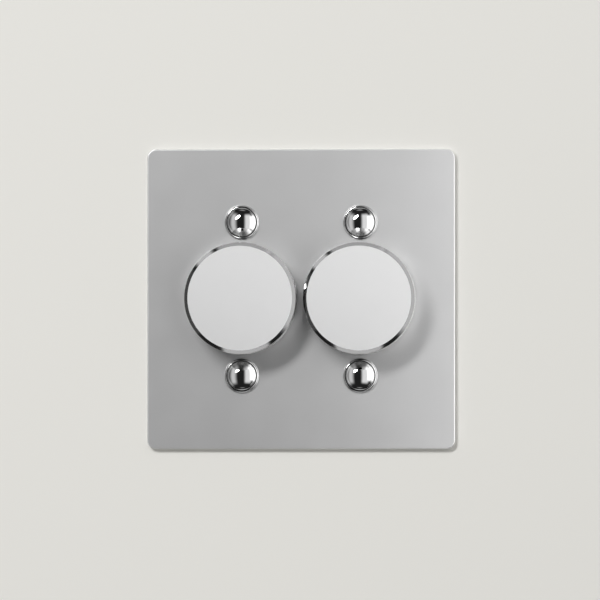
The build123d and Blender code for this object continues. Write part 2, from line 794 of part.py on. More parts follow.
    # Smoothing capacitor: a round can on the board, on the terminal side.
    with BuildPart() as smoothing_capacitor:
        with BuildSketch(level(side, board_front)):
            with Locations((capacitor_u + can_radius / 2, -side_v)):
                Circle(can_radius)
        extrude(amount=can_height)
        chamfer(smoothing_capacitor.faces().sort_by(Axis.Y)[0].edges(), can_edge)
    smoothing_capacitor.part.label = f"{name}_smoothing_capacitor"
    export_step(smoothing_capacitor.part, f"parts/{name}_smoothing_capacitor.step")

    # Terminal clamps: brass blocks on the board, each with a wire bore and a screw bore.
    with BuildPart() as terminal_clamps:
        with BuildSketch(level(side, clamp_back)):
            with Locations((case_middle, clamp_v)):
                with GridLocations(clamp_pitch, 0, clamp_count, 1):
                    Rectangle(clamp_width, clamp_length)
        extrude(amount=clamp_depth)
        with BuildSketch(across(side, clamp_v - clamp_length / 2)):
            with Locations((case_middle, wire_y)):
                with GridLocations(clamp_pitch, 0, clamp_count, 1):
                    Circle(wire_radius)
        extrude(amount=clamp_length, mode=Mode.SUBTRACT)
        with BuildSketch(level(side, clamp_back)):
            with Locations((case_middle, clamp_v)):
                with GridLocations(clamp_pitch, 0, clamp_count, 1):
                    Circle(terminal_screw_radius + thread_gap)
        extrude(amount=clamp_back - wire_y, mode=Mode.SUBTRACT)
    terminal_clamps.part.label = f"{name}_terminal_clamps"
    export_step(terminal_clamps.part, f"parts/{name}_terminal_clamps.step")

    # Terminal screws: slotted heads in the housing's openings.
    with BuildPart() as terminal_screws:
        with BuildSketch(level(side, clamp_back + terminal_head_height)):
            with Locations((case_middle, clamp_v)):
                with GridLocations(clamp_pitch, 0, clamp_count, 1):
                    Circle(terminal_head_radius)
        extrude(amount=terminal_head_height)
        with BuildSketch(level(side, clamp_back)):
            with Locations((case_middle, clamp_v)):
                with GridLocations(clamp_pitch, 0, clamp_count, 1):
                    Circle(terminal_screw_radius)
        extrude(amount=clamp_back - wire_y - wire_radius)
        with BuildSketch(level(side, clamp_back + terminal_head_height)):
            with Locations((case_middle, clamp_v)):
                with GridLocations(clamp_pitch, 0, clamp_count, 1):
                    Rectangle(2 * terminal_head_radius, driver_slot_width)
        extrude(amount=driver_slot_depth, mode=Mode.SUBTRACT)
    terminal_screws.part.label = f"{name}_terminal_screws"
    export_step(terminal_screws.part, f"parts/{name}_terminal_screws.step")
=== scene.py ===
"""Two-gang rotary dimmer switch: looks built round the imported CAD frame, in Blender 4.5.

The switch's sizes are in millimetres, the studio's in metres, and angles in degrees.
"""

import json
import logging
from abc import ABC, abstractmethod
from collections.abc import Callable, Iterator
from contextlib import contextmanager
from dataclasses import dataclass
from enum import Enum
from math import cos, degrees, pi, radians, sin, sqrt

import bpy
from mathutils import Matrix, Vector


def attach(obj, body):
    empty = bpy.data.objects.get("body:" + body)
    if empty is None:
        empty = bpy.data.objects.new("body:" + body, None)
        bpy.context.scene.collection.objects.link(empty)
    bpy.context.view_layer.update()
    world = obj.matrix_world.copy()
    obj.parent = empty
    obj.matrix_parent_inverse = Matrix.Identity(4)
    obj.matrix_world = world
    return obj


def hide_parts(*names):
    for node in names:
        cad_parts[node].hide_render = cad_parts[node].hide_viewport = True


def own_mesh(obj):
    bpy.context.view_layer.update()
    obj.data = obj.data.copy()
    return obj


logging.basicConfig(level=logging.INFO, format="%(message)s")
log = logging.getLogger("dimmer")

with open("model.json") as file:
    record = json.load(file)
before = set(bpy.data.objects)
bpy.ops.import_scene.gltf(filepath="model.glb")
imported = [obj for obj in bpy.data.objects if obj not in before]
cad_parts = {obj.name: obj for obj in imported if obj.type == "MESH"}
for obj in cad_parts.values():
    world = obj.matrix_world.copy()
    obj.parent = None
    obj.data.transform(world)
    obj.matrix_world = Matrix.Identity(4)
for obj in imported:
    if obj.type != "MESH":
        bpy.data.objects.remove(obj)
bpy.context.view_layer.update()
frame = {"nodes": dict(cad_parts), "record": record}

Object = bpy.types.Object
Material = bpy.types.Material
Tree = bpy.types.NodeTree
Socket = bpy.types.NodeSocket
SocketValue = Socket | float | tuple[float, ...]
Pattern = dict[str, Socket]
Pair = tuple[float, float]
Place = tuple[float, float, float]
Outline = list[Pair]

# Points nearer to each other than this, in millimetres, are welded to one.
WELD = 0.002
# Facets that meet at less than this, in degrees, are merged to one.
FLAT_ANGLE = 0.5
# Places that differ by less than this, in millimetres, count as the same.
NEARLY = 0.01
# Size of the plane, in millimetres, that is merged to an outline's first point.
SPECK = 0.1
# Facets across a block's rounded corner.
CORNER_STEPS = 10
# Most of a pattern's values lie in these spans, which are stretched to its full effect.
ROUGHNESS_SPAN = (0.25, 0.75)
COLOUR_SPAN = (0.3, 0.7)
# The wave texture multiplies its scale by this.
WAVE_FACTOR = 20.0


# Measures and colours


def mm(value: float) -> float:
    """Millimetres as Blender's metres."""
    return value / 1000.0


def per_mm(size: float) -> float:
    """Texture scale that gives a pattern features of that size in millimetres."""
    return 1000.0 / size


def linear(hex_colour: str) -> tuple[float, float, float, float]:
    """Turns an sRGB hex colour to linear red, green, blue and alpha.

    Args:
        hex_colour: six hex digits, with or without a leading hash.

    Returns:
        The linear colour with an alpha of 1.
    """
    digits = hex_colour.lstrip("#")
    channels = []
    for start in (0, 2, 4):
        value = int(digits[start:start + 2], 16) / 255.0
        channels.append(value / 12.92 if value <= 0.04045 else ((value + 0.055) / 1.055) ** 2.4)
    return channels[0], channels[1], channels[2], 1.0


def shade_of(hex_colour: str, factor: float) -> tuple[float, float, float, float]:
    """The linear colour made lighter or darker by a factor."""
    red, green, blue, alpha = linear(hex_colour)
    return min(red * factor, 1.0), min(green * factor, 1.0), min(blue * factor, 1.0), alpha


def direction(azimuth: float, elevation: float) -> Vector:
    """Unit vector from the object; azimuth 0 is straight out of the wall, positive to the right.

    Args:
        azimuth: degrees round the vertical.
        elevation: degrees above the horizontal.

    Returns:
        The direction as a unit vector.
    """
    a, e = radians(azimuth), radians(elevation)
    return Vector((sin(a) * cos(e), -cos(a) * cos(e), sin(e)))


# Modelling steps shared by the pieces


def clear_selection() -> None:
    """Deselects every object."""
    bpy.ops.object.select_all(action="DESELECT")
    bpy.context.view_layer.objects.active = None


def make_active(piece: Object) -> None:
    """Selects one object alone and makes it the active one.

    Args:
        piece: the object.
    """
    clear_selection()
    piece.select_set(True)
    bpy.context.view_layer.objects.active = piece


def settle(piece: Object, name: str) -> Object:
    """Names a piece and moves its place into its mesh.

    Args:
        piece: the object to settle.
        name: its final name.

    Returns:
        The same object, at the origin, unturned and unscaled.
    """
    make_active(piece)
    bpy.ops.object.transform_apply(location=True, rotation=True, scale=True)
    piece.name = name
    piece.data.name = name
    return piece


@contextmanager
def editing(piece: Object, start: str = "SELECT") -> Iterator[None]:
    """Edit mode on one object, left again afterwards.

    Args:
        piece: the object to edit.
        start: SELECT or DESELECT, for all of its mesh.

    Returns:
        The time in edit mode, as a with statement takes it.
    """
    make_active(piece)
    bpy.ops.object.mode_set(mode="EDIT")
    bpy.ops.mesh.select_all(action=start)
    yield
    bpy.ops.object.mode_set(mode="OBJECT")


def round_edges(
    piece: Object, wanted: Callable[[Vector, Vector], bool], radius: float, segments: int
) -> None:
    """Bevels the edges that pass a test.

    Args:
        piece: the object, whose mesh is in world coordinates.
        wanted: the test on an edge's two end points.
        radius: bevel width in millimetres.
        segments: number of facets across the bevel.
    """
    with editing(piece, "DESELECT"):
        bpy.ops.mesh.select_mode(type="EDGE")
    for edge in piece.data.edges:
        first, second = (piece.data.vertices[index].co for index in edge.vertices)
        edge.select = wanted(first, second)
    bpy.ops.object.mode_set(mode="EDIT")
    bpy.ops.mesh.bevel(offset=mm(radius), segments=segments, profile=0.5, affect="EDGES")
    bpy.ops.object.mode_set(mode="OBJECT")


def modify(piece: Object, kind: str, **settings: object) -> None:
    """Applies a modifier to a piece.

    Args:
        piece: the object to change.
        kind: the modifier's type name.
        **settings: the modifier's properties.
    """
    make_active(piece)
    modifier = piece.modifiers.new(kind.lower(), kind)
    for key, value in settings.items():
        setattr(modifier, key, value)
    bpy.ops.object.modifier_apply(modifier=modifier.name)


def cut_away(piece: Object, cutter: Object) -> None:
    """Cuts one object out of another and removes the cutter.

    Args:
        piece: the object that is cut.
        cutter: the object that stands for the space that is cut out.
    """
    modify(piece, "BOOLEAN", operation="DIFFERENCE", solver="EXACT", object=cutter)
    bpy.data.objects.remove(cutter)


def drill(
    piece: Object,
    middle: Place,
    radius: float,
    length: float,
    steps: int = 96,
    upright: bool = False,
) -> None:
    """Drills a round hole, in millimetres.

    Args:
        piece: the object that is drilled.
        middle: the middle of the cut.
        radius: the hole's radius.
        length: the cut's length.
        steps: number of facets round the hole.
        upright: whether the hole runs along Z; if not, it runs along Y.
    """
    clear_selection()
    bpy.ops.mesh.primitive_cylinder_add(
        vertices=steps,
        radius=mm(radius),
        depth=mm(length),
        location=[mm(value) for value in middle],
        rotation=(0.0 if upright else pi / 2, 0.0, 0.0),
    )
    cut_away(piece, bpy.context.object)


def rounded_block(
    name: str, width: float, height: float, corner: float, front: float, back: float
) -> Object:
    """Models a block that faces -Y, with its four upright corners rounded.

    Args:
        name: the object's name.
        width: size along X in millimetres.
        height: size along Z in millimetres.
        corner: radius of the four corners.
        front: the front's place along Y.
        back: the back's place along Y.

    Returns:
        The block, settled.
    """
    clear_selection()
    bpy.ops.mesh.primitive_cube_add(size=1.0, location=(0.0, mm((front + back) / 2), 0.0))
    bpy.context.object.scale = (mm(width), mm(back - front), mm(height))
    block = settle(bpy.context.object, name)
    round_edges(block, lambda a, b: abs(a.y - b.y) > mm((back - front) / 2), corner, CORNER_STEPS)
    return block


def put_in_order(piece: Object) -> None:
    """Rebuilds a mesh with its points and faces in a fixed order, which spin doesn't keep.

    Args:
        piece: the object, still without materials.
    """
    mesh = piece.data
    order = sorted(range(len(mesh.vertices)), key=lambda index: tuple(mesh.vertices[index].co))
    place = {old: new for new, old in enumerate(order)}
    points = [tuple(mesh.vertices[index].co) for index in order]
    faces = []
    for polygon in mesh.polygons:
        corners = [place[index] for index in polygon.vertices]
        first = corners.index(min(corners))
        faces.append(corners[first:] + corners[:first])
    mesh.clear_geometry()
    mesh.from_pydata(points, [], sorted(faces))


def turn(name: str, outline: Outline, x: float, z: float, steps: int) -> Object:
    """Turns an outline round an axis along Y, as on a lathe.

    Args:
        name: the object's name.
        outline: radius and depth along Y of each point, in millimetres.
        x: the axis's place across.
        z: the axis's place up.
        steps: number of facets round the axis.

    Returns:
        The turned piece, closed and settled.
    """
    clear_selection()
    radius, depth = outline[0]
    start = (mm(x + radius), mm(depth), mm(z))
    bpy.ops.mesh.primitive_plane_add(size=mm(SPECK), location=start)
    with editing(bpy.context.object):
        bpy.ops.mesh.select_mode(type="VERT")
        bpy.ops.mesh.merge(type="CENTER")
        for next_radius, next_depth in outline[1:]:
            step = (mm(next_radius - radius), mm(next_depth - depth), 0.0)
            bpy.ops.mesh.extrude_vertices_move(TRANSFORM_OT_translate={"value": step})
            radius, depth = next_radius, next_depth
        bpy.ops.mesh.select_all(action="SELECT")
        bpy.ops.mesh.spin(
            steps=steps, angle=2 * pi, center=(mm(x), 0.0, mm(z)), axis=(0.0, 1.0, 0.0)
        )
        bpy.ops.mesh.select_all(action="SELECT")
        bpy.ops.mesh.remove_doubles(threshold=mm(WELD))
        bpy.ops.mesh.normals_make_consistent(inside=False)
    put_in_order(bpy.context.object)
    return settle(bpy.context.object, name)


def smooth(piece: Object, angle: float = 30.0, level: bool = False) -> None:
    """Shades a piece smooth, but for its sharper edges.

    Args:
        piece: the object to shade.
        angle: edges sharper than this, in degrees, stay sharp.
        level: whether large flats keep an even shade beside small bevels.
    """
    make_active(piece)
    bpy.ops.object.shade_smooth_by_angle(angle=radians(angle))
    if level:
        modify(piece, "WEIGHTED_NORMAL", keep_sharp=True)


def fair_copy(node: str) -> Object:
    """Copies a CAD node as one merged mesh with smooth round surfaces.

    Args:
        node: the CAD node's name.

    Returns:
        The copy, which replaces the node.
    """
    copy = frame["nodes"][node].copy()
    copy.data = copy.data.copy()
    for key in list(copy.keys()):
        del copy[key]
    copy.parent = None
    bpy.context.scene.collection.objects.link(copy)
    with editing(copy):
        bpy.ops.mesh.remove_doubles(threshold=mm(WELD))
        bpy.ops.mesh.dissolve_limited(angle_limit=radians(FLAT_ANGLE))
    copy.data.materials.clear()
    settle(copy, f"{node}_finished")
    smooth(copy)
    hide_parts(node)
    return copy


# Finishes


def add_node(
    tree: Tree,
    kind: str,
    inputs: dict[str | int, SocketValue] | None = None,
    **settings: object,
) -> bpy.types.Node:
    """Adds a node with its settings, its values and its links.

    Args:
        tree: the material's or world's node tree.
        kind: the node's type name.
        inputs: value or output socket for each named input.
        **settings: properties to set on the node first.

    Returns:
        The new node.
    """
    node = tree.nodes.new(kind)
    for key, value in settings.items():
        setattr(node, key, value)
    for socket, value in (inputs or {}).items():
        if isinstance(value, Socket):
            tree.links.new(value, node.inputs[socket])
        else:
            node.inputs[socket].default_value = value
    return node


def fresh_tree(owner: Material | bpy.types.World) -> Tree:
    """Gives a material or a world an empty node tree.

    Args:
        owner: the material or world.

    Returns:
        Its node tree.
    """
    owner.use_nodes = True
    owner.node_tree.nodes.clear()
    return owner.node_tree


def calculate(tree: Tree, operation: str, *values: SocketValue) -> Socket:
    """Adds one calculation to a node tree.

    Args:
        tree: the material's or world's node tree.
        operation: the calculation, as Blender names it.
        *values: numbers or sockets, in the calculation's own order.

    Returns:
        The result's socket.
    """
    node = add_node(tree, "ShaderNodeMath", dict(enumerate(values)), operation=operation)
    return node.outputs["Value"]


def noise(tree: Tree, place: Socket, size: float, detail: float = 2.0) -> Socket:
    """Noise with features of a real size.

    Args:
        tree: the material's node tree.
        place: the coordinates it reads.
        size: feature size in millimetres.
        detail: number of finer layers.

    Returns:
        The noise's value socket, from 0 to 1.
    """
    inputs = {"Vector": place, "Scale": per_mm(size), "Detail": detail}
    return add_node(tree, "ShaderNodeTexNoise", inputs).outputs["Fac"]


def bands(tree: Tree, place: Socket, size: float, way: str, waviness: float = 0.0) -> Socket:
    """Even waves across one axis.

    Args:
        tree: the material's node tree.
        place: the coordinates it reads.
        size: the bands' size in millimetres.
        way: the axis that the bands follow one another along.
        waviness: how far the bands are bent.

    Returns:
        The waves' value socket, from 0 to 1.
    """
    node = add_node(
        tree,
        "ShaderNodeTexWave",
        {"Vector": place, "Scale": per_mm(size) / WAVE_FACTOR, "Distortion": waviness},
        bands_direction=way,
    )
    return node.outputs["Fac"]


@dataclass(frozen=True)
class Finish:
    """What every finish has: its name and colour, how rough it is, and how far its pattern goes.

    The shades are shares of the colour, the spread is how far the roughness goes to either side,
    the relief is in millimetres, and the strength is the share of the relief that shows.
    """

    name: str
    colour: str
    roughness: float
    shades: Pair = (1.0, 1.0)
    spread: float = 0.0
    relief: float = 0.0
    strength: float = 0.0

    def surface(self) -> dict[str, float]:
        """Values that are the same all over, set on the shader's own sockets."""
        return {}

    def pattern(self, tree: Tree, place: Socket) -> Pattern:
        """The patterns, from 0 to 1, that the shader's values follow, by the shader's socket."""
        return {}

    def outside(self, tree: Tree, shader: Socket) -> Socket:
        """What stands between the shader and the eye, which is nothing on most finishes."""
        return shader

    def material(self) -> Material:
        """Builds the material once and returns it.

        Returns:
            The finish's material.
        """
        found = bpy.data.materials.get(self.name)
        if found:
            return found
        material = bpy.data.materials.new(self.name)
        tree = fresh_tree(material)
        place = add_node(tree, "ShaderNodeTexCoord").outputs["Object"]
        follow = {
            "Base Color": self.varied_colour,
            "Roughness": self.varied_roughness,
            "Normal": self.raised,
        }
        values: dict[str, SocketValue] = {
            "Base Color": linear(self.colour),
            "Roughness": self.roughness,
            **self.surface(),
        }
        for socket, factor in self.pattern(tree, place).items():
            values[socket] = follow[socket](tree, factor)
        shader = add_node(tree, "ShaderNodeBsdfPrincipled", values).outputs["BSDF"]
        add_node(tree, "ShaderNodeOutputMaterial", {"Surface": self.outside(tree, shader)})
        return material

    def varied_roughness(self, tree: Tree, factor: Socket) -> Socket:
        """Roughness that follows a pattern round its plain value.

        Args:
            tree: the material's node tree.
            factor: the pattern, from 0 to 1.

        Returns:
            The roughness socket.
        """
        low, high = ROUGHNESS_SPAN
        ranged = add_node(
            tree,
            "ShaderNodeMapRange",
            {
                "Value": factor,
                "From Min": low,
                "From Max": high,
                "To Min": max(self.roughness - self.spread, 0.0),
                "To Max": self.roughness + self.spread,
            },
        )
        return ranged.outputs["Result"]

    def varied_colour(self, tree: Tree, factor: Socket) -> Socket:
        """Colour that follows a pattern between the darker and the lighter shade.

        Args:
            tree: the material's node tree.
            factor: the pattern, from 0 to 1.

        Returns:
            The colour socket.
        """
        ramp = add_node(tree, "ShaderNodeValToRGB", {"Fac": factor})
        for stop, position, shade in zip(ramp.color_ramp.elements, COLOUR_SPAN, self.shades):
            stop.position = position
            stop.color = shade_of(self.colour, shade)
        return ramp.outputs["Color"]

    def raised(self, tree: Tree, height: Socket) -> Socket:
        """Surface relief that follows a pattern.

        Args:
            tree: the material's node tree.
            height: the pattern, from 0 to 1.

        Returns:
            The normal socket.
        """
        node = add_node(
            tree,
            "ShaderNodeBump",
            {"Height": height, "Strength": self.strength, "Distance": mm(self.relief)},
        )
        return node.outputs["Normal"]


@dataclass(frozen=True)
class Metal(Finish):
    """Any bare metal."""

    def surface(self) -> dict[str, float]:
        """All metal."""
        return {"Metallic": 1.0}


@dataclass(frozen=True)
class SatinSteel(Metal):
    """Stainless steel blasted with fine glass beads: an even matt sheen with no grain direction."""

    shades: Pair = (0.995, 1.005)
    spread: float = 0.005
    relief: float = 0.004
    strength: float = 0.35
    grit: float = 0.12
    cloud: float = 9.0

    def pattern(self, tree: Tree, place: Socket) -> Pattern:
        """Bead marks as relief, and wide faint clouds from handling in roughness and colour.

        Args:
            tree: the material's node tree.
            place: the coordinates that the pattern reads.

        Returns:
            The patterns, by the shader's socket.
        """
        beads = noise(tree, place, self.grit, detail=1.0)
        clouds = noise(tree, place, self.cloud, detail=3.0)
        return {"Base Color": clouds, "Roughness": clouds, "Normal": beads}


@dataclass(frozen=True)
class PolishedSteel(Metal):
    """Steel turned or buffed bright, with hairlines left by the tool or the mop."""

    hairline: float = 0.35

    def pattern(self, tree: Tree, place: Socket) -> Pattern:
        """Hairlines and faint smears in the roughness only, so that the reflection stays true."""
        hairs = noise(tree, place, self.hairline, detail=4.0)
        return {"Roughness": hairs}


@dataclass(frozen=True)
class PlatedSteel(Metal):
    """Bright zinc on pressed steel: a soft spangle with a slight blue cast."""

    shades: Pair = (0.88, 1.06)
    spread: float = 0.06
    relief: float = 0.006
    strength: float = 0.3
    spangle: float = 1.6
    grain: float = 0.2

    def pattern(self, tree: Tree, place: Socket) -> Pattern:
        """Spangle in the colour and roughness, and a fine grain in the relief.

        Args:
            tree: the material's node tree.
            place: the coordinates that the pattern reads.

        Returns:
            The patterns, by the shader's socket.
        """
        cells = add_node(
            tree, "ShaderNodeTexVoronoi", {"Vector": place, "Scale": per_mm(self.spangle)}
        ).outputs["Color"]
        tone = add_node(tree, "ShaderNodeSeparateColor", {"Color": cells}).outputs["Red"]
        return {"Base Color": tone, "Roughness": tone, "Normal": noise(tree, place, self.grain)}


@dataclass(frozen=True)
class DrawnMetal(Metal):
    """Rolled or drawn metal with fine lines along one way, as mill aluminium and brass have."""

    shades: Pair = (0.9, 1.04)
    spread: float = 0.08
    relief: float = 0.005
    strength: float = 0.3
    line: float = 0.12
    length: float = 6.0
    patch: float = 3.0

    def pattern(self, tree: Tree, place: Socket) -> Pattern:
        """Lines stretched along Z in the roughness and relief, and dull patches in the colour.

        Args:
            tree: the material's node tree.
            place: the coordinates that the pattern reads.

        Returns:
            The patterns, by the shader's socket.
        """
        stretch = (1.0, 1.0, self.line / self.length)
        mapped = add_node(tree, "ShaderNodeMapping", {"Vector": place, "Scale": stretch})
        lines = noise(tree, mapped.outputs["Vector"], self.line)
        patches = noise(tree, place, self.patch, detail=3.0)
        return {"Base Color": patches, "Roughness": lines, "Normal": lines}


@dataclass(frozen=True)
class MouldedPlastic(Finish):
    """Moulded plastic: the tool's spark texture shows as a fine even grain."""

    shades: Pair = (0.9, 1.1)
    spread: float = 0.05
    relief: float = 0.02
    strength: float = 0.5
    spark: float = 0.35
    flow: float = 7.0

    def surface(self) -> dict[str, float]:
        """The usual index of moulded plastics."""
        return {"IOR": 1.5}

    def pattern(self, tree: Tree, place: Socket) -> Pattern:
        """Spark texture in the relief, and flow clouds in the colour and roughness."""
        flow = noise(tree, place, self.flow)
        return {"Base Color": flow, "Roughness": flow, "Normal": noise(tree, place, self.spark)}


@dataclass(frozen=True)
class GlassLaminate(Finish):
    """Glass-cloth laminate under solder mask: a faint square weave under a glossy green coat."""

    shades: Pair = (0.85, 1.15)
    relief: float = 0.02
    strength: float = 0.3
    weave: float = 0.5
    waviness: float = 0.3

    def surface(self) -> dict[str, float]:
        """The mask is a clear coat over the cloth."""
        return {"IOR": 1.55, "Coat Weight": 0.6, "Coat Roughness": 0.15}

    def pattern(self, tree: Tree, place: Socket) -> Pattern:
        """Warp and weft threads as two crossed waves.

        Args:
            tree: the material's node tree.
            place: the coordinates that the pattern reads.

        Returns:
            The patterns, by the shader's socket.
        """
        threads = [bands(tree, place, self.weave, way, self.waviness) for way in ("X", "Z")]
        cloth = calculate(tree, "MULTIPLY", *threads)
        return {"Base Color": cloth, "Normal": cloth}


@dataclass(frozen=True)
class EnamelledWire(Metal):
    """Enamelled copper wire wound side by side: round turns with a lacquered gloss."""

    # The shades are painted shade in the grooves between turns and painted light on their crests.
    shades: Pair = (0.55, 1.1)
    relief: float = 0.15
    strength: float = 0.8
    wire: float = 0.6

    def surface(self) -> dict[str, float]:
        """Copper under a clear lacquer."""
        return {**super().surface(), "Coat Weight": 0.8, "Coat Roughness": 0.12}

    def pattern(self, tree: Tree, place: Socket) -> Pattern:
        """Turns as waves across the winding: relief, and painted shade in the colour, darker in the
        grooves between turns and lighter on their crests.
        """
        # The same waves drive the colour as painted shade and the bump as relief.
        turns = bands(tree, place, self.wire, "Z")
        return {"Base Color": turns, "Normal": turns}


@dataclass(frozen=True)
class PressedFerrite(Finish):
    """Pressed and sintered ferrite: a dull dark grey stone with fine pits."""

    # The shades are painted shade in the pits and painted light on the grain between them.
    shades: Pair = (0.75, 1.2)
    relief: float = 0.03
    strength: float = 0.6
    pit: float = 0.25

    def pattern(self, tree: Tree, place: Socket) -> Pattern:
        """Pits in the relief, and the same pattern in the colour as painted shade: darker in the
        pits and lighter on the grain between them.
        """
        pits = noise(tree, place, self.pit, detail=3.0)
        return {"Base Color": pits, "Normal": pits}


@dataclass(frozen=True)
class WallPaint(Finish):
    """Matt emulsion on a plastered wall: a very slight roller stipple. Clear from behind."""

    relief: float = 0.05
    strength: float = 0.04
    stipple: float = 2.5

    def pattern(self, tree: Tree, place: Socket) -> Pattern:
        """Roller stipple in the relief only."""
        return {"Normal": noise(tree, place, self.stipple)}

    def outside(self, tree: Tree, shader: Socket) -> Socket:
        """Lets views from behind the wall see the switch's back.

        Args:
            tree: the material's node tree.
            shader: the paint.

        Returns:
            The paint from the front, and nothing from behind.
        """
        behind = add_node(tree, "ShaderNodeNewGeometry").outputs["Backfacing"]
        clear = add_node(tree, "ShaderNodeBsdfTransparent").outputs["BSDF"]
        mixed = add_node(tree, "ShaderNodeMixShader", {0: behind, 1: shader, 2: clear})
        return mixed.outputs["Shader"]


# Bead-blasted stainless plate: spreads the light evenly, with no grain.
SATIN_PLATE = SatinSteel("satin_stainless_plate", "#F4F4F4", 0.36)
# The knobs' faces are blasted finer and paler than the plate, and read almost white.
SATIN_FACE = SatinSteel("satin_stainless_face", "#EDEDED", 0.78, grit=0.1, cloud=7.0)
# Buffed stainless on the knobs' bevels, the dome screws and the collars: mirrors the studio.
MIRROR_STEEL = PolishedSteel("polished_stainless", "#D2D2D2", 0.06, spread=0.024)
# Finely turned sides of the knobs: a blurred sheen, so the neighbours' reflections stay quiet.
TURNED_STEEL = PolishedSteel("turned_stainless", "#D2D2D2", 0.3, spread=0.12)
# Zinc-plated pressed and turned steel.
ZINC_STEEL = PlatedSteel("zinc_plated_steel", "#B9BCC0", 0.34)
# Mill-finish aluminium sheet and turned shafts.
MILL_ALUMINIUM = DrawnMetal("mill_aluminium", "#C9CACC", 0.36)
# Turned brass blocks, slightly dulled.
TURNED_BRASS = DrawnMetal("turned_brass", "#C9A45A", 0.3, line=0.15, length=1.5)
# Black glass-filled nylon.
BLACK_NYLON = MouldedPlastic("black_nylon", "#1C1C1E", 0.55)
# Cream thermoset of the switch parts.
CREAM_THERMOSET = MouldedPlastic("cream_thermoset", "#D8CFB4", 0.45, spark=0.6, relief=0.01)
# Yellow potted capacitor box, glossy.
YELLOW_EPOXY = MouldedPlastic("yellow_epoxy", "#D9B23A", 0.25, spark=1.5, relief=0.01)
# Green solder mask on glass laminate.
GREEN_LAMINATE = GlassLaminate("glass_laminate", "#1E5A34", 0.4)
# Copper wire under amber enamel.
COPPER_WIRE = EnamelledWire("enamelled_copper", "#B5693A", 0.3)
# Dark grey ferrite core.
GREY_FERRITE = PressedFerrite("pressed_ferrite", "#3A3A3C", 0.75)
# Pale matt wall paint, faintly warm.
PALE_PAINT = WallPaint("pale_wall_paint", "#F1F0EC", 0.9)

FINISH_OF_SLOT: dict[str, Finish] = {
    "satin_steel": SATIN_PLATE,
    "polished_steel": MIRROR_STEEL,
    "plated_steel": ZINC_STEEL,
    "aluminium": MILL_ALUMINIUM,
    "brass": TURNED_BRASS,
    "copper": COPPER_WIRE,
    "black_plastic": BLACK_NYLON,
    "cream_plastic": CREAM_THERMOSET,
    "yellow_plastic": YELLOW_EPOXY,
    "board": GREEN_LAMINATE,
    "ferrite": GREY_FERRITE,
}


def record_slot(node: str) -> str:
    """The record's material slot of a CAD node."""
    parts = frame["record"]["subparts"]
    return next(part["material_slot"] for part in parts if part["node"] == node)


def dress(piece: Object, *finishes: Finish) -> None:
    """Gives a piece its finishes.

    Args:
        piece: the piece.
        *finishes: its finishes, in the order of its material slots.
    """
    piece.data.materials.clear()
    for finish in finishes:
        piece.data.materials.append(finish.material())


# The pieces


class Side(Enum):
    """The two modules, with the way each lies along X."""

    LEFT = -1
    RIGHT = 1

    @property
    def label(self) -> str:
        """The side's name as the CAD nodes have it."""
        return self.name.lower()


class Assembly(ABC):
    """Pieces that are modelled first and dressed after."""

    @abstractmethod
    def build(self) -> list[Object]:
        """Models the pieces, which replace their CAD nodes."""

    @abstractmethod
    def dress(self, pieces: list[Object]) -> None:
        """Gives the pieces their finishes, in material slots, and their bodies."""

    def make(self) -> None:
        """Models, dresses and reports the pieces."""
        pieces = self.build()
        self.dress(pieces)
        for piece in pieces:
            log.info("%s: %d faces", piece.name, len(piece.data.polygons))


@dataclass
class FrontPlate(Assembly):
    """Flat satin plate with rounded corners, an eased front edge and a shallow relief behind."""

    width: float = 88.3
    height: float = 86.0
    thickness: float = 2.0
    corner: float = 2.5
    edge: float = 0.3
    relief_width: float = 70.0
    relief_height: float = 70.0
    relief_depth: float = 1.0
    relief_corner: float = 3.0
    knob_pitch: float = 34.0
    knob_hole: float = 8.68
    stud_rise: float = 22.0
    stud_hole: float = 2.15
    edge_steps: int = 3
    sharp_angle: float = 40.0
    overshoot: float = 1.0

    def build(self) -> list[Object]:
        """Models the plate from a block: corners, front edge, relief and holes.

        Returns:
            The plate, which replaces its CAD node.
        """
        front = -self.thickness
        plate = rounded_block(
            "front_plate_finished", self.width, self.height, self.corner, front, 0.0
        )
        at_front = mm(front + NEARLY)
        round_edges(
            plate, lambda a, b: a.y < at_front and b.y < at_front, self.edge, self.edge_steps
        )
        relief = rounded_block(
            "relief", self.relief_width, self.relief_height, self.relief_corner,
            -self.relief_depth, self.overshoot,
        )
        cut_away(plate, relief)
        middle, length = front / 2, self.thickness + 2 * self.overshoot
        for x in (-self.knob_pitch / 2, self.knob_pitch / 2):
            drill(plate, (x, middle, 0.0), self.knob_hole, length)
            for z in (-self.stud_rise, self.stud_rise):
                drill(plate, (x, middle, z), self.stud_hole, length)
        smooth(plate, self.sharp_angle, level=True)
        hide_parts("front_plate")
        return [plate]

    def dress(self, pieces: list[Object]) -> None:
        """Satin all over.

        Args:
            pieces: what build returned.
        """
        (plate,) = pieces
        dress(plate, SATIN_PLATE)
        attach(plate, "base")


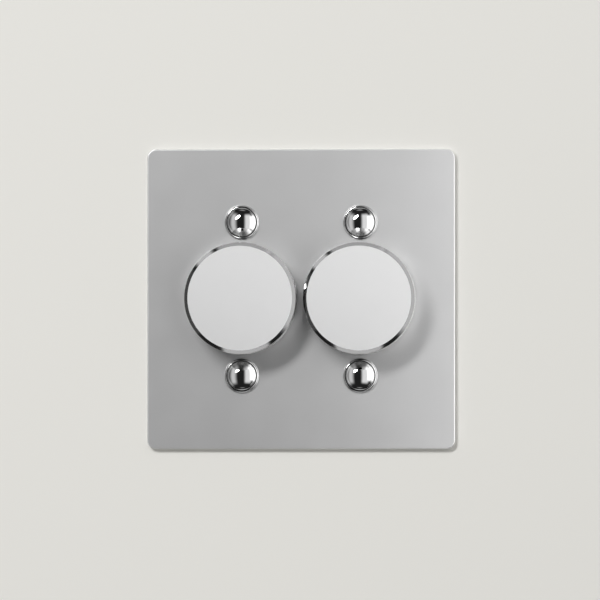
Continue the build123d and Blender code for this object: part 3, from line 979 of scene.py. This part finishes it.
@dataclass
class TurnedKnob(Assembly):
    """Turned knob: a crowned satin face, a polished bevel, a turned side and a recess behind.

    Faces whose normal points along Y by less than side_facing belong to the side.
    """

    side: Side
    radius: float = 16.0
    bevel_width: float = 1.05
    bevel_depth: float = 0.9
    crown: float = 0.7
    front: float = -15.0
    back: float = -4.0
    back_chamfer: float = 0.4
    recess_radius: float = 8.68
    recess_depth: float = 3.4
    bore_radius: float = 4.53
    bore_depth: float = 5.4
    grub_radius: float = 1.55
    grub_start: float = 1.0
    grub_steps: int = 48
    rim_rounding: float = 0.12
    rim_steps: int = 3
    pitch: float = 34.0
    face_rings: int = 14
    turn_steps: int = 160
    sharp_angle: float = 32.0
    side_facing: float = 0.3

    @property
    def axis_x(self) -> float:
        """The knob axis's place across."""
        return self.side.value * self.pitch / 2

    @property
    def rim(self) -> float:
        """Where the bevel ends and the side begins, along Y."""
        return self.front + self.crown + self.bevel_depth

    def from_axis(self, point: Vector) -> float:
        """A point's distance from the knob's axis, in metres."""
        return sqrt((point.x - mm(self.axis_x)) ** 2 + point.z**2)

    def on_rim(self, point: Vector) -> bool:
        """Whether a point lies on the outer rim."""
        off_radius = abs(self.from_axis(point) - mm(self.radius))
        return max(off_radius, abs(point.y - mm(self.rim))) < mm(NEARLY)

    def outline(self) -> Outline:
        """The turned outline, from the middle of the face round to the middle of the bore.

        Returns:
            Radius and depth of each point.
        """
        face_radius = self.radius - self.bevel_width
        ball = (face_radius**2 + self.crown**2) / (2 * self.crown)
        points = []
        for ring in range(self.face_rings + 1):
            r = face_radius * ring / self.face_rings
            points.append((r, self.front + ball - sqrt(ball**2 - r**2)))
        floor = self.back - self.recess_depth
        points += [
            (self.radius, self.rim),
            (self.radius, self.back - self.back_chamfer),
            (self.radius - self.back_chamfer, self.back),
            (self.recess_radius, self.back),
            (self.recess_radius, floor),
            (self.bore_radius, floor),
            (self.bore_radius, floor - self.bore_depth),
            (0.0, floor - self.bore_depth),
        ]
        return points

    def build(self) -> list[Object]:
        """Turns the knob, eases its outer rim and drills the grub screw's hole.

        Returns:
            The knob, which replaces its CAD node.
        """
        name = f"{self.side.label}_knob_finished"
        knob = turn(name, self.outline(), self.axis_x, 0.0, self.turn_steps)
        round_edges(
            knob,
            lambda a, b: self.on_rim(a) and self.on_rim(b) and abs(a.y - b.y) < mm(NEARLY),
            self.rim_rounding,
            self.rim_steps,
        )
        height = -self.side.value * (self.radius / 2 + self.grub_start)
        depth = self.back - self.recess_depth - self.bore_depth / 2
        middle = (self.axis_x, depth, height)
        drill(knob, middle, self.grub_radius, self.radius, self.grub_steps, upright=True)
        smooth(knob, self.sharp_angle, level=True)
        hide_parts(f"{self.side.label}_knob")
        return [knob]

    def dress(self, pieces: list[Object]) -> None:
        """Satin on the face, a finely turned side, mirror polish elsewhere.

        Args:
            pieces: what build returned.
        """
        (knob,) = pieces
        finishes = (MIRROR_STEEL, SATIN_FACE, TURNED_STEEL)
        dress(knob, *finishes)
        face_edge = mm(self.radius - self.bevel_width)
        face_back = mm(self.front + self.crown)
        for polygon in knob.data.polygons:
            away = self.from_axis(polygon.center)
            finish = MIRROR_STEEL
            if away < face_edge and polygon.center.y < face_back:
                finish = SATIN_FACE
            elif away > face_edge and abs(polygon.normal.y) < self.side_facing:
                finish = TURNED_STEEL
            polygon.material_index = finishes.index(finish)
        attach(knob, f"{self.side.label}_knob")


@dataclass
class DomeStuds(Assembly):
    """Four polished dome screws, each in a polished collar on the plate."""

    pitch: float = 34.0
    rise: float = 22.0
    plate_front: float = -2.0
    collar_radius: float = 5.0
    collar_height: float = 1.0
    collar_round: float = 0.9
    collar_seat: float = 0.4
    seat_radius: float = 4.27
    bore_radius: float = 2.15
    head_radius: float = 4.15
    crown: float = 1.1
    base: float = 0.5
    edge_round: float = 0.35
    shank_radius: float = 1.95
    shank_back: float = 3.4
    seat_land: float = 0.1
    seat_easing: float = 0.04
    head_rings: int = 12
    edge_steps: int = 6
    collar_steps: int = 9
    turn_steps: int = 96
    screw_sharp_angle: float = 50.0
    collar_sharp_angle: float = 40.0

    def rounded(
        self, middle: Pair, across: float, along: float, start: float, steps: int
    ) -> Outline:
        """Points on a quarter of an oval, or less, that ends straight outwards.

        Args:
            middle: the oval's centre as radius and depth.
            across: the oval's half size along the radius.
            along: the oval's half size along Y.
            start: the first angle in degrees, where 90 is forwards and 0 is outwards.
            steps: number of segments.

        Returns:
            Radius and depth of each point.
        """
        points = []
        for step in range(steps + 1):
            angle = radians(start * (1 - step / steps))
            points.append((middle[0] + across * cos(angle), middle[1] - along * sin(angle)))
        return points

    def screw_outline(self) -> Outline:
        """Outline of a screw: a shallow ball, a rolled-over edge, a short side and the shank.

        Returns:
            Radius and depth of each point.
        """
        shoulder = self.plate_front - self.collar_height - self.base
        flat = self.head_radius - self.edge_round
        ball = (flat**2 + self.crown**2) / (2 * self.crown)
        points = []
        for ring in range(self.head_rings + 1):
            r = flat * ring / self.head_rings
            points.append((r, shoulder - self.crown + ball - sqrt(ball**2 - r**2)))
        rolled, tilt = self.edge_round, 90.0 - degrees(flat / ball)
        edge = self.rounded((flat, shoulder + rolled), rolled, rolled, tilt, self.edge_steps)
        seat = self.plate_front - self.collar_height + self.collar_seat
        return points + edge[1:] + [
            (self.head_radius, seat),
            (self.shank_radius, seat),
            (self.shank_radius, self.shank_back),
            (0.0, self.shank_back),
        ]

    def collar_outline(self) -> Outline:
        """Outline of a collar, as a closed loop: a ring with a rounded outer edge and a seat.

        Returns:
            Radius and depth of each point.
        """
        front = self.plate_front - self.collar_height
        lip = max(self.collar_radius - self.collar_round, self.seat_radius + self.seat_land)
        middle, across = (lip, front + self.collar_round), self.collar_radius - lip
        outer = self.rounded(middle, across, self.collar_round, 90.0, self.collar_steps)
        return [
            (self.bore_radius, self.plate_front),
            (self.bore_radius, front + self.collar_seat),
            (self.seat_radius, front + self.collar_seat),
            (self.seat_radius, front + self.seat_easing),
            (self.seat_radius + self.seat_easing, front),
            *outer,
            (self.collar_radius, self.plate_front),
            (self.bore_radius, self.plate_front),
        ]

    def spread(self, name: str, first: Object) -> Object:
        """Copies one stud's piece to the other three places and joins the four.

        Args:
            name: the joined piece's name.
            first: the piece at the upper right.

        Returns:
            The joined piece.
        """
        make_active(first)
        offsets = ((-self.pitch, 0.0), (-self.pitch, -2 * self.rise), (0.0, -2 * self.rise))
        for across, up in offsets:
            copy = first.copy()
            copy.data = first.data.copy()
            copy.location = (mm(across), 0.0, mm(up))
            bpy.context.scene.collection.objects.link(copy)
            copy.select_set(True)
        bpy.ops.object.join()
        return settle(bpy.context.object, name)

    def build(self) -> list[Object]:
        """Turns one screw and one collar and repeats them.

        Returns:
            The screws and the collars, which replace their CAD nodes.
        """
        x, z = self.pitch / 2, self.rise
        screw = turn("dome_screw", self.screw_outline(), x, z, self.turn_steps)
        smooth(screw, self.screw_sharp_angle)
        collar = turn("dome_collar", self.collar_outline(), x, z, self.turn_steps)
        smooth(collar, self.collar_sharp_angle)
        screws = self.spread("dome_screws_finished", screw)
        collars = self.spread("dome_collars_finished", collar)
        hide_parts("dome_screws")
        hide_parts("dome_collars")
        return [screws, collars]

    def dress(self, pieces: list[Object]) -> None:
        """Mirror polish on both.

        Args:
            pieces: what build returned.
        """
        for piece in pieces:
            dress(piece, MIRROR_STEEL)
            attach(piece, "base")


@dataclass
class WallFrame(Assembly):
    """Yoke in the mouth of the wall box, with its threaded bushes and earth terminal."""

    nodes: tuple[str, ...] = ("yoke", "threaded_bushes", "earth_terminal", "earth_screw")

    def build(self) -> list[Object]:
        """Copies the CAD nodes with smooth round surfaces."""
        return [fair_copy(node) for node in self.nodes]

    def dress(self, pieces: list[Object]) -> None:
        """Zinc plate, and brass for the earth block.

        Args:
            pieces: what build returned.
        """
        for node, piece in zip(self.nodes, pieces):
            slot = record_slot(node)
            dress(piece, FINISH_OF_SLOT[slot])
            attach(piece, "base")


@dataclass
class DimmerModule(Assembly):
    """One enclosed dimmer module with its shaft, neck, housing and works."""

    side: Side
    outside: tuple[str, ...] = (
        "neck_bush", "lock_washer", "neck_nut", "heat_sink", "cover_screws", "housing",
        "terminal_clamps", "terminal_screws",
    )
    on_knob: tuple[str, ...] = ("knob_insert", "grub_screw", "shaft")
    spring: str = "plunger_spring"
    inside: tuple[str, ...] = (
        "pot_body", "resistance_track", "switch_body", "circuit_board", "choke_core",
        "choke_winding", "transistors", "film_capacitor", "smoothing_capacitor", "rotor", "wiper",
        "plunger",
    )
    moulded_edge: float = 0.25
    edge_steps: int = 2
    edge_angle: float = 50.0
    sharp_angle: float = 35.0
    press_travel: float = 1.5
    axis_x: float = 17.0

    @property
    def copied_parts(self) -> tuple[str, ...]:
        """The parts that are copied; the spring is the last."""
        return (*self.outside, *self.on_knob, self.spring)

    def build(self) -> list[Object]:
        """Copies the nodes that show or bend, with smooth rounds and eased moulded edges.

        Returns:
            The copies, in the order of copied_parts.
        """
        pieces = {part: fair_copy(f"{self.side.label}_{part}") for part in self.copied_parts}
        modify(
            pieces["housing"],
            "BEVEL",
            width=mm(self.moulded_edge),
            segments=self.edge_steps,
            limit_method="ANGLE",
            angle_limit=radians(self.edge_angle),
        )
        smooth(pieces["housing"], self.sharp_angle, level=True)
        return list(pieces.values())

    def dress(self, pieces: list[Object]) -> None:
        """Finishes by the record's slots, for the copies and for the CAD nodes inside.

        Args:
            pieces: what build returned.
        """
        for part, piece in zip(self.copied_parts, pieces):
            slot = record_slot(f"{self.side.label}_{part}")
            dress(piece, FINISH_OF_SLOT[slot])
            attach(piece, f"{self.side.label}_knob" if part in self.on_knob else "base")
        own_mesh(pieces[-1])
        for part in self.inside:
            node = f"{self.side.label}_{part}"
            dress(frame["nodes"][node], FINISH_OF_SLOT[record_slot(node)])


# The wall, the light and the camera


@dataclass
class PaintedWall:
    """Pale wall in the plane of the plate's back, cut out just inside the plate's edge."""

    reach: float = 900.0
    mouth: float = 83.0
    setback: float = 0.05

    def build(self) -> None:
        """Models the wall from a plane whose middle is inset and cut out."""
        clear_selection()
        bpy.ops.mesh.primitive_plane_add(
            size=mm(self.reach), location=(0.0, mm(self.setback), 0.0), rotation=(pi / 2, 0.0, 0.0)
        )
        wall = settle(bpy.context.object, "wall")
        with editing(wall):
            bpy.ops.mesh.inset(thickness=mm((self.reach - self.mouth) / 2), depth=0.0)
            bpy.ops.mesh.delete(type="FACE")
        dress(wall, PALE_PAINT)


@dataclass(frozen=True)
class SoftLamp:
    """One studio lamp, by the direction it stands in and how bright its face is."""

    name: str
    azimuth: float
    elevation: float
    distance: float
    width: float
    height: float
    radiance: float
    tilt: float = 0.0
    mirrored: bool = False

    def build(self) -> None:
        """Places the lamp so that it faces the switch."""
        lamp = bpy.data.lights.new(self.name, "AREA")
        lamp.shape = "ELLIPSE"
        lamp.size, lamp.size_y = self.width, self.height
        face = self.width * self.height * pi / 4
        lamp.energy = self.radiance * pi * face
        stand = bpy.data.objects.new(self.name, lamp)
        bpy.context.scene.collection.objects.link(stand)
        way = direction(self.azimuth, self.elevation)
        stand.location = way * self.distance
        facing = way.to_track_quat("Z", "Y").to_matrix()
        stand.rotation_euler = (facing @ Matrix.Rotation(radians(self.tilt), 3, "Z")).to_euler()
        stand.visible_camera = False
        stand.visible_glossy = self.mirrored


@dataclass(frozen=True)
class TentCard:
    """One pale card in the light tent, by the span that it covers as seen from the switch."""

    name: str
    azimuths: Pair
    elevations: Pair
    tone: float
    softness: float = 3.0

    def mask(self, tree: Tree, azimuth: Socket, elevation: Socket) -> Socket:
        """Adds the card's outline, with soft edges.

        Args:
            tree: the tent's node tree.
            azimuth: each point's azimuth in degrees.
            elevation: each point's elevation in degrees.

        Returns:
            The outline, 1 inside and 0 outside.
        """
        sides = []
        for angle, (low, high) in ((azimuth, self.azimuths), (elevation, self.elevations)):
            middle, half = (low + high) / 2, (high - low) / 2
            away = calculate(tree, "ABSOLUTE", calculate(tree, "SUBTRACT", angle, middle))
            fade = add_node(
                tree,
                "ShaderNodeMapRange",
                {
                    "Value": away,
                    "From Min": half - self.softness,
                    "From Max": half + self.softness,
                    "To Min": 1.0,
                    "To Max": 0.0,
                },
                interpolation_type="SMOOTHSTEP",
            )
            sides.append(fade.outputs["Result"])
        return calculate(tree, "MULTIPLY", *sides)


@dataclass
class Studio:
    """The lamps, the dark tent with pale cards that the metal mirrors, and the surroundings."""

    lamps: tuple[SoftLamp, ...] = (
        SoftLamp("key_lamp", -22.6, 24.8, 2.0, 0.96, 0.36, 20.0, tilt=45.0, mirrored=True),
        SoftLamp("key_on_wall", -22.6, 24.8, 2.0, 0.5, 0.5, 9.0),
        SoftLamp("right_lamp", 40.0, 20.0, 1.4, 1.0, 1.0, 0.3),
        SoftLamp("back_lamp", 160.0, 35.0, 1.2, 0.8, 0.8, 1.5, mirrored=True),
        SoftLamp("back_fill", -150.0, 10.0, 1.2, 0.6, 0.9, 0.8, mirrored=True),
    )
    cards: tuple[TentCard, ...] = (
        TentCard("left_card", (-56.0, -32.0), (-36.0, 40.0), 0.8, 10.0),
        TentCard("right_card", (11.0, 42.0), (-36.0, 40.0), 1.05, 8.0),
        TentCard("right_bright_card", (40.0, 56.0), (-22.0, 30.0), 3.2, 9.0),
        TentCard("right_horizon_card", (56.0, 94.0), (-36.0, 60.0), 0.66, 8.0),
        TentCard("top_card", (-77.0, 94.0), (60.0, 94.0), 0.5),
        TentCard("upper_left_card", (-87.0, -66.0), (35.0, 54.0), 0.7),
        TentCard("left_horizon_card", (-94.0, -62.0), (-36.0, 28.0), 0.08),
        TentCard("low_card", (-66.0, 66.0), (-94.0, -59.0), 0.62),
    )
    card_distance: float = 0.3
    tent_radius: float = 2.4
    ball_steps: int = 64
    wall_overlap: float = 0.001
    tent_tone: float = 0.02
    surround: str = "#DFDEDA"
    ambient: float = 0.455

    def build(self) -> None:
        """Sets up the lamps, the cards, the tent and the world."""
        for lamp in self.lamps:
            lamp.build()
        self.half_ball("light_cards", self.card_distance, self.card_paper())
        self.half_ball("dark_tent", self.tent_radius, self.tent_cloth())
        self.build_world()

    def half_ball(self, name: str, radius: float, material: Material) -> None:
        """Hangs half a ball in front of the wall, seen only as a reflection.

        Args:
            name: the half ball's name.
            radius: its radius in metres.
            material: what it is made of.
        """
        clear_selection()
        bpy.ops.mesh.primitive_uv_sphere_add(
            segments=self.ball_steps, ring_count=self.ball_steps // 2, radius=radius
        )
        ball = settle(bpy.context.object, name)
        with editing(ball):
            bpy.ops.mesh.bisect(
                plane_co=(0.0, self.wall_overlap, 0.0), plane_no=(0.0, 1.0, 0.0), clear_outer=True
            )
        ball.data.materials.append(material)
        ball.visible_camera = False
        ball.visible_diffuse = False
        ball.visible_transmission = False
        ball.visible_shadow = False

    def tent_cloth(self) -> Material:
        """Black cloth that gives the mirrored metal its dark parts.

        Returns:
            The tent's material.
        """
        material = bpy.data.materials.new("tent_cloth")
        tree = fresh_tree(material)
        cloth = add_node(tree, "ShaderNodeEmission", {"Strength": self.tent_tone})
        add_node(tree, "ShaderNodeOutputMaterial", {"Surface": cloth.outputs["Emission"]})
        return material

    def card_paper(self) -> Material:
        """Pale cards with soft edges, and nothing between them.

        Returns:
            The cards' material.
        """
        material = bpy.data.materials.new("card_paper")
        tree = fresh_tree(material)
        place = add_node(tree, "ShaderNodeTexCoord").outputs["Object"]
        way = add_node(tree, "ShaderNodeVectorMath", {0: place}, operation="NORMALIZE")
        axes = add_node(tree, "ShaderNodeSeparateXYZ", {0: way.outputs["Vector"]}).outputs
        outwards = calculate(tree, "MULTIPLY", axes["Y"], -1.0)
        turned = calculate(tree, "ARCTAN2", axes["X"], outwards)
        raised = calculate(tree, "ARCSINE", axes["Z"])
        azimuth, elevation = (calculate(tree, "DEGREES", angle) for angle in (turned, raised))
        light: SocketValue = 0.0
        cover: SocketValue = 0.0
        for card in self.cards:
            mask = card.mask(tree, azimuth, elevation)
            light = calculate(tree, "MULTIPLY_ADD", mask, card.tone, light)
            light.node.name = card.name
            cover = calculate(tree, "MAXIMUM", mask, cover)
        paper = add_node(tree, "ShaderNodeEmission", {"Strength": light})
        gap = calculate(tree, "SUBTRACT", 1.0, cover)
        tint = add_node(
            tree, "ShaderNodeCombineColor", {channel: gap for channel in ("Red", "Green", "Blue")}
        )
        clear = add_node(tree, "ShaderNodeBsdfTransparent", {"Color": tint.outputs["Color"]})
        both = add_node(
            tree, "ShaderNodeAddShader", {0: paper.outputs["Emission"], 1: clear.outputs["BSDF"]}
        )
        add_node(tree, "ShaderNodeOutputMaterial", {"Surface": both.outputs["Shader"]})
        return material

    def build_world(self) -> None:
        """Pale surroundings for the camera and for reflections, and weaker light on the part."""
        world = bpy.data.worlds.new("studio")
        bpy.context.scene.world = world
        tree = fresh_tree(world)
        path = add_node(tree, "ShaderNodeLightPath").outputs
        seen = path["Is Camera Ray"]
        for ray in ("Is Glossy Ray", "Is Transmission Ray"):
            seen = calculate(tree, "MAXIMUM", seen, path[ray])
        strength = add_node(
            tree, "ShaderNodeMapRange", {"Value": seen, "To Min": self.ambient, "To Max": 1.0}
        )
        light = add_node(
            tree,
            "ShaderNodeBackground",
            {"Color": linear(self.surround), "Strength": strength.outputs["Result"]},
        )
        add_node(tree, "ShaderNodeOutputWorld", {"Surface": light.outputs["Background"]})


@dataclass
class PhotoCamera:
    """Long-lens camera, nearly square on, at the photograph's viewing angle.

    The aim is in millimetres, and so is the sensor. The distances are in metres.
    """

    azimuth: float = 2.4
    elevation: float = -1.3
    distance: float = 2.5
    pixels_per_mm: float = 3.488
    image_width: float = 600.0
    aim: Place = (-0.29, -2.0, -0.28)
    sensor: float = 36.0
    nearest: float = 0.05
    farthest: float = 10.0

    def build(self) -> None:
        """Places the camera and makes it the scene's own."""
        camera = bpy.data.cameras.new("photo_camera")
        camera.sensor_width = self.sensor
        camera.sensor_fit = "HORIZONTAL"
        pixel = self.sensor / self.image_width
        camera.lens = self.pixels_per_mm * pixel * self.distance / mm(1.0)
        camera.clip_start = self.nearest
        camera.clip_end = self.farthest
        stand = bpy.data.objects.new("photo_camera", camera)
        bpy.context.scene.collection.objects.link(stand)
        way = direction(self.azimuth, self.elevation)
        stand.location = Vector(mm(value) for value in self.aim) + way * self.distance
        stand.rotation_euler = way.to_track_quat("Z", "Y").to_euler()
        bpy.context.scene.camera = stand


def main() -> None:
    """Makes the pieces in order, then the wall, the light and the camera."""
    bpy.context.scene.view_settings.view_transform = "Standard"
    for assembly in (
        FrontPlate(),
        *(TurnedKnob(side) for side in Side),
        DomeStuds(),
        WallFrame(),
        *(DimmerModule(side) for side in Side),
    ):
        assembly.make()
    PaintedWall().build()
    Studio().build()
    PhotoCamera().build()


if __name__ == "__main__":
    main()
